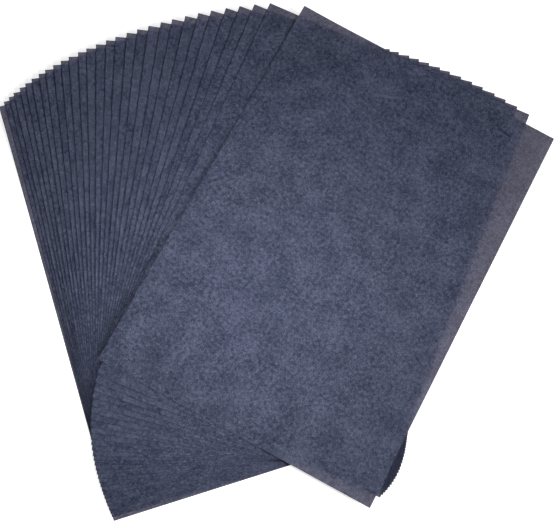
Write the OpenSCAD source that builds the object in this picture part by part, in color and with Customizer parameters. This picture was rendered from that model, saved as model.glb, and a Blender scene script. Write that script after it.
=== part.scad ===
// A pile of loose carbon transfer sheets, fanned by hand on a table.
// Every sheet is flat, in a layer of its own, and turned clockwise on the one below it about
// one shared centre near the bottom edge. The origin is that centre, on the underside of the
// bottom sheet. +Y runs along the long side of the bottom sheet and +Z is up.

/* [Sheet] */
// Width of one sheet, 9 inches
sheet_width = 228.6; // [150:0.1:300]
// Length of one sheet, 13 inches
sheet_length = 330.2; // [200:0.1:420]
// Thickness of the coated paper
paper_thickness = 0.05; // [0.03:0.01:0.2]

/* [Pile] */
// Air between two neighbouring sheets
air_gap = 0.07; // [0.02:0.01:0.3]
// Air under the top sheet, which lies looser than the rest
top_air_gap = 0.8; // [0.1:0.05:0.95]

/* [Fan] */
// Fan centre to the right edge of the bottom sheet
centre_from_right = 75.2; // [20:0.2:130]
// Fan centre to the bottom edge of the bottom sheet
centre_from_bottom = 30.4; // [10:0.2:100]
// Turn of the second sheet on the bottom one, in degrees
first_step = 0.8; // [0.3:0.02:1.5]
// Turn of the last fanned sheet on the one below it, in degrees
last_step = 2.08; // [1:0.02:3]
// How unevenly the hand spaced the turns, in degrees
uneven_turn = 0.06; // [0:0.01:0.2]
// How far the sheets slid in and out along their length
uneven_slide = 2.2; // [0:0.1:6]

/* [Top sheet] */
// Turn of the top sheet on the bottom one, in degrees
top_turn = 45.6; // [42:0.1:75]
// How far the top sheet slid to the left, across its length
top_slide_left = 0.9; // [0:0.1:6]
// How far the top sheet slid down, along its length
top_slide_down = 4.5; // [0:0.1:10]

/* [Hidden] */
// Sheets in the pile, one node each
sheet_count = 30;
// Dark navy of the paper
paper_color = [0.26, 0.28, 0.36];
// An angle that never falls into step with itself, so the unevenness looks random
golden_angle = 137.508;
// Where the two waves of unevenness start, in degrees
turn_phase = 233;
slide_phase = 10.5;

layer_pitch = paper_thickness + air_gap;
fanned_count = sheet_count - 1;
top_level = (fanned_count - 1) * layer_pitch + paper_thickness + top_air_gap;

function two_digits(n) = str(n < 10 ? "0" : "", n);

// A wave that starts at zero on the bottom sheet, i sheets up
function wave(i, step, phase) = sin(i * step + phase) - sin(phase);

// Turn of the sheet that lies i sheets above the bottom one: the steps grow evenly from the
// first to the last, and the unevenness of the hand comes on top
function turn(i) =
    first_step * i
    + (last_step - first_step) * i * (i - 1) / (2 * (fanned_count - 2))
    + uneven_turn * wave(i, golden_angle, turn_phase);

// Slide of that sheet along its own length, one wave over the whole pile
function slide(i) = uneven_slide * wave(i, 360 / sheet_count, slide_phase);

// One sheet at its height, turned clockwise about the fan centre and slid in its own plane
module sheet(turned, right, up, level)
    color(paper_color)
        rotate(-turned)
            translate([centre_from_right - sheet_width + right, up - centre_from_bottom, level])
                cube([sheet_width, sheet_length, paper_thickness]);

module bottom_sheet() sheet(0, 0, 0, 0);

module fanned_sheet(i) sheet(turn(i), 0, slide(i), i * layer_pitch);

module top_sheet() sheet(top_turn, -top_slide_left, -top_slide_down, top_level);

bottom_sheet();
for (i = [1 : fanned_count - 1])
    fanned_sheet(i);
top_sheet();
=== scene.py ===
import math

import bpy
import numpy as np
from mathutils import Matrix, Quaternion, Vector


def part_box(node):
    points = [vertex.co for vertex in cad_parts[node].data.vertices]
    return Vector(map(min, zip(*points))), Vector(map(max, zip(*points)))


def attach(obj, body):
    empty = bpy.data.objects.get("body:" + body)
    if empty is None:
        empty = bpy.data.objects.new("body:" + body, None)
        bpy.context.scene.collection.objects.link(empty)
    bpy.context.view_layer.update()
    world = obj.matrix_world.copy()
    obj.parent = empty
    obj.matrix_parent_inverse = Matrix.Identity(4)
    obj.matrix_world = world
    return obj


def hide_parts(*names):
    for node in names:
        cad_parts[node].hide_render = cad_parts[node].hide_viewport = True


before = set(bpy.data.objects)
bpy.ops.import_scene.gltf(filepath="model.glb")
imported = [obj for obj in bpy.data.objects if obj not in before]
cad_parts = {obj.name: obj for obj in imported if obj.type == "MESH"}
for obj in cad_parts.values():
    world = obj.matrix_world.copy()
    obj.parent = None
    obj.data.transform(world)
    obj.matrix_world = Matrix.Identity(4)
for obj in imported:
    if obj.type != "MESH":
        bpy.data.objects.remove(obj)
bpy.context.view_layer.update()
scene = bpy.context.scene
scene.view_settings.view_transform = "Standard"
# the sheets from the table up
stack = sorted(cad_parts, key=lambda node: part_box(node)[0].z)
print("frame loaded,", len(stack), "sheets")


# camera, metres and degrees

picture = {
    "place": (-0.1157, -0.0623, 0.8622),  # above the lower left of the pile
    "aim": (0.0186, 0.1204, 0.0),         # point of the table in the middle of the picture
    "roll": 19.39,                        # turned anticlockwise about the line of sight
    "lens": 74.96,
    "sensor": 36.0,
}


def placeCamera():
    data = bpy.data.cameras.new("camera")
    data.sensor_fit = "HORIZONTAL"
    data.sensor_width = picture["sensor"]
    data.lens = picture["lens"]
    camera = bpy.data.objects.new("camera", data)
    scene.collection.objects.link(camera)
    camera.location = picture["place"]
    sight = Vector(picture["aim"]) - Vector(picture["place"])
    roll = Quaternion((0, 0, 1), math.radians(picture["roll"]))
    camera.rotation_mode = "QUATERNION"
    camera.rotation_quaternion = sight.to_track_quat("-Z", "Y") @ roll
    scene.camera = camera


placeCamera()
print("camera placed")


# shader values

class Wire:
    # one output of a shader node; arithmetic on it adds Math nodes to the same tree
    def __init__(self, tree, socket=None):
        self.tree = tree
        self.socket = socket

    def node(self, kind, settings={}, inputs={}, output=0):
        # any node: its settings first, then the values or links of its sockets
        made = self.tree.nodes.new(kind)
        for name, value in settings.items():
            setattr(made, name, value)
        for name, value in inputs.items():
            if isinstance(value, Wire):
                self.tree.links.new(value.socket, made.inputs[name])
            else:
                made.inputs[name].default_value = value
        return Wire(self.tree, made.outputs[output] if made.outputs else None)

    def maths(self, operation, a, b):
        return self.node("ShaderNodeMath", {"operation": operation}, {0: a, 1: b})

    def __add__(self, other):
        return self.maths("ADD", self, other)

    def __sub__(self, other):
        return self.maths("SUBTRACT", self, other)

    def __rsub__(self, other):
        return self.maths("SUBTRACT", other, self)

    def __mul__(self, other):
        return self.maths("MULTIPLY", self, other)

    __radd__ = __add__
    __rmul__ = __mul__

    def between(self, low, high):
        # 0 below low, 1 above high, smooth in between
        ends = {"Value": self, "From Min": low, "From Max": high}
        return self.node("ShaderNodeMapRange", {"interpolation_type": "SMOOTHSTEP"}, ends)

    def blend(self, first, second):
        # the colour first where this value is 0 and second where it is 1
        sides = {"Factor": self, 6: first, 7: second}
        return self.node("ShaderNodeMix", {"data_type": "RGBA"}, sides, output=2)


def startMaterial(name):
    # an empty material, and a wire to start its nodes from
    material = bpy.data.materials.new(name)
    material.use_nodes = True
    material.node_tree.nodes.clear()
    return material, Wire(material.node_tree)


# stage: a white table top and soft light

table = {
    "reach": 12.0,           # half the side of the table top
    "below": 0.00002,        # under the bottom sheet
    "paint": (0.8, 0.8, 0.8, 1),
    "glow": 0.7,             # how white it looks by itself, so that shadows stay pale
    "glowThrough": 1.0,      # the same, seen through paper
}


def tableMaterial():
    material, start = startMaterial("tablePaint")
    rays = start.node("ShaderNodeLightPath")
    camera, glossy, through = (
        Wire(start.tree, rays.socket.node.outputs[name])
        for name in ("Is Camera Ray", "Is Glossy Ray", "Is Transmission Ray")
    )
    glow = table["glow"] * (camera + glossy) + table["glowThrough"] * through
    light = start.node("ShaderNodeEmission", inputs={"Strength": glow})
    paint = start.node("ShaderNodeBsdfDiffuse", inputs={"Color": table["paint"]})
    both = start.node("ShaderNodeAddShader", inputs={0: paint, 1: light})
    start.node("ShaderNodeOutputMaterial", inputs={"Surface": both})
    return material


lamps = {
    "overheadLight": {             # kept on the pile by a grid
        "place": (0.084, 0.219, 1.00),
        "aim": (-0.010, 0.091, 0.0),
        "size": 0.26,
        "beam": 21,                # full angle, degrees
        "watts": 0.172,
    },
    "sideLight": {                 # low, from the lower right of the picture
        "place": (3.39, -1.94, 1.62),
        "aim": (-0.02, 0.14, 0.0),
        "size": 2.0,
        "beam": 180,
        "watts": 235.0,
    },
}
room = 0.15  # the rest, from all around; together a colour looks about as it is written


def placeLamp(name, lamp):
    data = bpy.data.lights.new(name, "AREA")
    data.size = lamp["size"]
    data.spread = math.radians(lamp["beam"])
    data.energy = lamp["watts"]
    light = bpy.data.objects.new(name, data)
    light.location = lamp["place"]
    way = Vector(lamp["aim"]) - Vector(lamp["place"])
    light.rotation_euler = way.to_track_quat("-Z", "Y").to_euler()
    scene.collection.objects.link(light)


def buildStage():
    reach = table["reach"]
    corners = [(-reach, -reach), (reach, -reach), (reach, reach), (-reach, reach)]
    mesh = bpy.data.meshes.new("tableTop")
    mesh.from_pydata([(x, y, -table["below"]) for x, y in corners], [], [(0, 1, 2, 3)])
    mesh.materials.append(tableMaterial())
    top = bpy.data.objects.new("tableTop", mesh)
    scene.collection.objects.link(top)
    for name, lamp in lamps.items():
        placeLamp(name, lamp)
    world = bpy.data.worlds.new("room")
    world.use_nodes = True
    world.node_tree.nodes.clear()
    start = Wire(world.node_tree)
    camera = start.node("ShaderNodeLightPath")
    strength = room + (1 - room) * camera  # white where the camera sees past the table
    walls = start.node("ShaderNodeBackground", inputs={"Color": (1, 1, 1, 1), "Strength": strength})
    start.node("ShaderNodeOutputWorld", inputs={"Surface": walls})
    scene.world = world


buildStage()
print("stage built")


# paper finishes; both read the sheet's own UV map, which is in metres along the sheet, and the face also
# reads how far it is to the nearest cut edge, where painted shade darkens it

paperFace = {
    "dark": (0.018, 0.026, 0.059, 1),   # linear colour of its darkest fibres
    "light": (0.137, 0.154, 0.235, 1),  # and of its lightest
    "tone": 0.40,             # where the plain paper lies between them
    "cloudPitch": 0.018,      # soft patches, metres
    "cloudDepth": 0.65,
    "blotchPitch": 0.0035,    # clumps of fibres
    "blotchDepth": 0.85,
    "blotchDetail": 3.0,
    "blotchGrit": 0.6,        # weight of the finer detail
    "fibreWidth": 0.0005,     # single fibres
    "fibreLength": 0.003,
    "fibreDepth": 3.6,
    "fibreDetail": 1.0,
    "fibreTurns": (12, 57, 101, 148),  # directions that they lie in, degrees
    "paintedShade": (0.006, 0.009, 0.031, 1),  # painted shade along the cut edges, standing for the dark gaps between stacked sheets
    "paintedShadeWidth": 0.0008,
    "paintedShadeDepth": 0.8,
    "roughness": 0.6,
    "roughnessSwing": 0.3,    # clumps are smoother than what lies between them
    "shine": 0.12,
    "bumpHeight": 0.00005,
    "throughShare": 0.09,     # light that the sheet lets through
    "throughColour": (1.0, 0.87, 0.90, 1),
}


def noise(uv, pitch, detail=2.0, grit=0.5):
    # soft noise that swings about a half
    values = {"Vector": uv, "Scale": 1 / pitch, "Detail": detail, "Roughness": grit}
    return uv.node("ShaderNodeTexNoise", {"noise_dimensions": "2D"}, values)


def fibres(uv, turn):
    # noise drawn out along one direction; a mapping of the texture kind turns before it scales
    look = paperFace
    turned = uv.node("ShaderNodeMapping", {"vector_type": "TEXTURE"}, {
        "Vector": uv,
        "Rotation": (0, 0, math.radians(turn)),
        "Scale": (look["fibreLength"], look["fibreWidth"], 1),
    })
    return noise(turned, 1.0, look["fibreDetail"])


def paperFaceMaterial():
    look = paperFace
    material, start = startMaterial("paperFace")
    uv = start.node("ShaderNodeUVMap", {"uv_map": "sheet"})
    cloud = noise(uv, look["cloudPitch"])
    blotch = noise(uv, look["blotchPitch"], look["blotchDetail"], look["blotchGrit"])
    strands = sum(fibres(uv, turn) for turn in look["fibreTurns"])
    strands = strands * (1 / len(look["fibreTurns"]))
    tone = (
        look["tone"]
        + look["cloudDepth"] * (cloud - 0.5)
        + look["blotchDepth"] * (blotch - 0.5)
        + look["fibreDepth"] * (strands - 0.5)
    )
    colour = tone.blend(look["dark"], look["light"])
    # painted shade: near the cut edges the colour darkens almost to black, for the shaded gaps between
    # stacked sheets
    inset = start.node("ShaderNodeAttribute", {"attribute_name": "inset"}, output=2)
    paintedShade = look["paintedShadeDepth"] * (1 - inset.between(0, look["paintedShadeWidth"]))
    colour = paintedShade.blend(colour, look["paintedShade"])
    bump = start.node("ShaderNodeBump", inputs={
        "Strength": 1.0,
        "Distance": look["bumpHeight"],
        "Height": blotch + strands,
    })
    face = start.node("ShaderNodeBsdfPrincipled", inputs={
        "Base Color": colour,
        "Roughness": look["roughness"] + look["roughnessSwing"] * (0.5 - blotch),
        "Specular IOR Level": look["shine"],
        "Normal": bump,
    })
    through = start.node("ShaderNodeBsdfTranslucent", inputs={"Color": look["throughColour"]})
    both = start.node("ShaderNodeMixShader", inputs={0: look["throughShare"], 1: face, 2: through})
    start.node("ShaderNodeOutputMaterial", inputs={"Surface": both})
    return material


carbonCoat = {
    "dark": (0.010, 0.011, 0.020, 1),
    "light": (0.030, 0.033, 0.055, 1),
    "smearPitch": 0.012,
    "smearDetail": 3.0,
    "smearShare": 0.6,        # the rest of the pattern is grain
    "grainPitch": 0.0015,
    "darkBelow": 0.3,         # of the pattern's values
    "lightAbove": 0.7,
    "roughness": 0.38,
    "roughnessSwing": 0.2,
    "shine": 0.5,
    "bumpHeight": 0.00003,
    "throughShare": 0.43,
    "throughColour": (1.0, 0.95, 0.95, 1),
}


def carbonCoatMaterial():
    look = carbonCoat
    material, start = startMaterial("carbonCoat")
    uv = start.node("ShaderNodeUVMap", {"uv_map": "sheet"})
    smear = noise(uv, look["smearPitch"], look["smearDetail"])
    grain = noise(uv, look["grainPitch"])
    pattern = look["smearShare"] * smear + (1 - look["smearShare"]) * grain
    colour = pattern.between(look["darkBelow"], look["lightAbove"]).blend(look["dark"], look["light"])
    bump = start.node("ShaderNodeBump", inputs={
        "Strength": 1.0,
        "Distance": look["bumpHeight"],
        "Height": grain,
    })
    coat = start.node("ShaderNodeBsdfPrincipled", inputs={
        "Base Color": colour,
        "Roughness": look["roughness"] + look["roughnessSwing"] * (smear - 0.5),
        "Specular IOR Level": look["shine"],
        "Normal": bump,
    })
    through = start.node("ShaderNodeBsdfTranslucent", inputs={"Color": look["throughColour"]})
    both = start.node("ShaderNodeMixShader", inputs={0: look["throughShare"], 1: coat, 2: through})
    start.node("ShaderNodeOutputMaterial", inputs={"Surface": both})
    return material


finishes = [paperFaceMaterial(), carbonCoatMaterial()]
print("finishes made")


# sheets of paper

sheetForm = {
    "cells": (64, 84),        # across and along the sheet
    "crowding": 0.6,          # how much closer the cells lie at the edges than in the middle
    "hem": 0.0001,            # first and last cell, so narrow that the faces shade flat up to the rim
    "farFrom": 0.250,         # from here on, metres from the fan centre, every sheet bends up
    "farRise": 0.0020,        # rise at the farthest corner
    "edgeSheets": (0, 6, 28),              # rise of the left edge, by the number of the sheet
    "edgeRise": (0.0, 0.0017, 0.0002),
    "edgeWidth": 0.012,
    "edgeFadeFrom": 0.010,    # the bottom sheet's edge lies flat up to here, metres from the fan centre
    "edgeFadeStep": 0.0013,   # every next sheet begins to rise this much lower
    "edgeFadeOver": 0.100,    # whole rise after this much more
    "edgeEase": 0.75,         # share of the rise lost again toward the far end
    "edgeEaseFrom": 0.120,
    "edgeEaseOver": 0.080,
    "heelSheets": (28, 29),        # rise of the right edge, below the fan centre
    "heelRise": (0.00033, 0.0),
    "heelWidth": 0.003,
    "heelFadeFrom": 0.005,    # begins here on the bottom sheet, metres above the fan centre
    "heelFadeStep": 0.0012,   # and this much higher on every next sheet
    "heelFadeOver": 0.060,
    "footSheets": (0, 2, 28, 29),  # rise of the bottom edge, left of the fan centre
    "footRise": (0.0, 0.00055, 0.00055, 0.0),
    "footWidth": 0.008,
    "footFadeFrom": 0.010,    # metres left of the fan centre
    "footFadeOver": 0.060,
    "uvStep": (0.37, 0.53),   # moves the pattern on from sheet to sheet
    "paintedShadeRight": 0.4,          # the painted edge shade is wider on the right side than on the left
    "paintedShadeEnds": 3.0,           # and narrower at the ends
    "paintedShadeClear": 0.01,         # the top sheet gets no painted edge shade
}
topForm = {
    "leftRise": 0.0018,       # rise of the left edge, most of it low down
    "leftWidth": 0.060,
    "leftFrom": 0.030,        # whole rise this far up from the bottom edge
    "leftFade": 0.300,        # and none from here on
    "leftDrop": 0.00055,      # higher up it hangs down
    "leftDropFrom": 0.080,
    "leftDropOver": 0.120,
    "footDrop": 0.0002,       # so does the bottom edge, left of the fan centre
    "footWidth": 0.020,
    "footFade": 0.060,
    "curlRise": 0.0012,       # rise of the upper left corner
    "curlReach": 0.050,
    "cockleRise": 0.0003,     # soft waves all over
    "cocklePitch": (0.110, 0.140),
}


def smooth(x):
    # 0 below 0, 1 above 1, smooth in between
    x = np.clip(x, 0, 1)
    return x * x * (3 - 2 * x)


def crowded(low, high, cells):
    # places from low to high, closer together toward both ends
    hem = sheetForm["hem"]
    q = np.linspace(0, 1, cells - 1)
    q = q - sheetForm["crowding"] * np.sin(2 * np.pi * q) / (2 * np.pi)
    return np.concatenate([[low], low + hem + (high - low - 2 * hem) * q, [high]])


def cutOf(node):
    # a cut sheet as the frame has it: unit vectors across and along, the span of the sheet on
    # each of them from the fan centre, its level and its thickness
    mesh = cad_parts[node].data
    points = np.empty(len(mesh.vertices) * 3)
    mesh.vertices.foreach_get("co", points)
    corners = np.unique(points.reshape(-1, 3).round(6), axis=0)
    flat = corners[:, :2]
    middle = flat.mean(0)
    along = np.linalg.eigh(np.cov((flat - middle).T))[1][:, 1]
    along = along * np.sign(along @ middle)
    across = np.array([along[1], -along[0]])
    span = [(float((flat @ way).min()), float((flat @ way).max())) for way in (across, along)]
    return {
        "across": across,
        "along": along,
        "span": span,
        "level": float(corners[:, 2].min()),
        "thickness": float(np.ptp(corners[:, 2])),
    }


cuts = {node: cutOf(node) for node in stack}
bottomSpan = cuts[stack[0]]["span"]
farTo = math.hypot(bottomSpan[0][0], bottomSpan[1][1])  # far corner of the bottom sheet


def pileRise(number, s, t, cut):
    # rise of a sheet at s across and t along from the fan centre: the square of the way past
    # farFrom, plus the square of the nearness to the left edge, which fades toward the centre,
    # plus the same at the right edge below the centre and at the bottom edge left of it
    form = sheetForm
    left, right = cut["span"][0]
    low = cut["span"][1][0]
    far = np.clip((np.hypot(s, t) - form["farFrom"]) / (farTo - form["farFrom"]), 0, None)
    near = np.clip(1 - (s - left) / form["edgeWidth"], 0, 1)
    fade = smooth((t - form["edgeFadeFrom"] + form["edgeFadeStep"] * number) / form["edgeFadeOver"])
    fade = fade * (1 - form["edgeEase"] * smooth((t - form["edgeEaseFrom"]) / form["edgeEaseOver"]))
    edge = np.interp(number, form["edgeSheets"], form["edgeRise"])
    nearHeel = np.clip(1 - (right - s) / form["heelWidth"], 0, 1)
    fadeHeel = smooth((form["heelFadeFrom"] + form["heelFadeStep"] * number - t) / form["heelFadeOver"])
    heel = np.interp(number, form["heelSheets"], form["heelRise"])
    nearFoot = np.clip(1 - (t - low) / form["footWidth"], 0, 1)
    fadeFoot = smooth((-s - form["footFadeFrom"]) / form["footFadeOver"])
    foot = np.interp(number, form["footSheets"], form["footRise"])
    return (
        form["farRise"] * far ** 2
        + edge * fade * near ** 2
        + heel * fadeHeel * nearHeel ** 2
        + foot * fadeFoot * nearFoot ** 2
    )


def topRise(s, t, cut):
    # what the loose top sheet adds: a left edge that rises fast from the bottom corner, falls
    # slowly and hangs at last, a bottom edge that hangs, a curled upper left corner, and waves
    # that only go up and die out at the left edge
    form = topForm
    left = cut["span"][0][0]
    low, high = cut["span"][1]
    near = np.clip(1 - (s - left) / form["leftWidth"], 0, 1)
    fade = smooth((t - low) / form["leftFrom"]) * smooth(1 - (t - low) / form["leftFade"])
    drop = smooth((t - form["leftDropFrom"]) / form["leftDropOver"])
    foot = np.clip(1 - (t - low) / form["footWidth"], 0, 1) ** 2 * smooth(-s / form["footFade"])
    curl = np.clip(1 - ((s - left) + (high - t)) / form["curlReach"], 0, 1)
    waves = np.sin(2 * np.pi * s / form["cocklePitch"][0]) * np.cos(2 * np.pi * t / form["cocklePitch"][1])
    return (
        (form["leftRise"] * fade - form["leftDrop"] * drop) * near ** 2
        - form["footDrop"] * foot
        + form["curlRise"] * curl ** 2
        + form["cockleRise"] * (1 + waves) * (1 - near)
    )


def thinShell(low, thickness):
    # a closed shell on a grid of points: the grid itself, a copy of it higher by the thickness,
    # and a rim round both
    rows, columns = low.shape[:2]
    count = rows * columns
    high = low + (0, 0, thickness)
    index = np.arange(count).reshape(rows, columns)
    under = np.stack([index[:-1, :-1], index[:-1, 1:], index[1:, 1:], index[1:, :-1]], -1).reshape(-1, 4)
    over = under[:, ::-1] + count
    edge = np.concatenate([index[0, :-1], index[:-1, -1], index[-1, :0:-1], index[:0:-1, 0]])
    following = np.roll(edge, -1)
    rim = np.stack([following, edge, edge + count, following + count], -1)
    points = np.concatenate([low.reshape(-1, 3), high.reshape(-1, 3)])
    return points, over, under, rim


def layPaper(number, node):
    # a grid of places across and along the sheet, raised by pileRise, as a thin closed shell
    cut = cuts[node]
    across, along = cut["across"], cut["along"]
    cells = sheetForm["cells"]
    s, t = np.meshgrid(crowded(*cut["span"][0], cells[0]), crowded(*cut["span"][1], cells[1]), indexing="ij")
    rise = pileRise(number, s, t, cut)
    if node == stack[-1]:
        rise = rise + topRise(s, t, cut)
    flat = s[..., None] * across + t[..., None] * along
    low = np.concatenate([flat, (cut["level"] + rise)[..., None]], -1)
    points, over, under, rim = thinShell(low, cut["thickness"])
    faces = np.concatenate([over, under, rim])
    mesh = bpy.data.meshes.new(node + "_paper")
    mesh.from_pydata(points, [], faces)
    counts = [len(over), len(under), len(rim)]
    mesh.polygons.foreach_set("material_index", np.repeat([0, 1, 1], counts))  # coat below and on the rim
    mesh.polygons.foreach_set("use_smooth", np.repeat([True, True, False], counts))
    place = np.stack([s, t], -1).reshape(-1, 2) + np.multiply(sheetForm["uvStep"], number)
    loops = np.empty(len(mesh.loops), int)
    mesh.loops.foreach_get("vertex_index", loops)
    mesh.uv_layers.new(name="sheet").data.foreach_set("uv", np.tile(place, (2, 1))[loops].ravel())
    # way in from the nearest edge, which counts more where the painted edge shade is narrower
    ends = sheetForm["paintedShadeEnds"] * np.minimum(t - t[0, 0], t[0, -1] - t)
    sides = np.minimum(s - s[0, 0], sheetForm["paintedShadeRight"] * (s[-1, 0] - s))
    inset = np.minimum(sides, ends)
    # the top sheet is pushed clear of the painted edge shade
    if node == stack[-1]:
        inset = inset + sheetForm["paintedShadeClear"]
    mesh.attributes.new("inset", "FLOAT", "POINT").data.foreach_set("value", np.tile(inset.ravel(), 2))
    for finish in finishes:
        mesh.materials.append(finish)
    paper = bpy.data.objects.new(node + "_paper", mesh)
    scene.collection.objects.link(paper)
    return paper


for number, node in enumerate(stack):
    paper = layPaper(number, node)
    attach(paper, node)
    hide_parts(node)
    size = [high - low for low, high in cuts[node]["span"]]
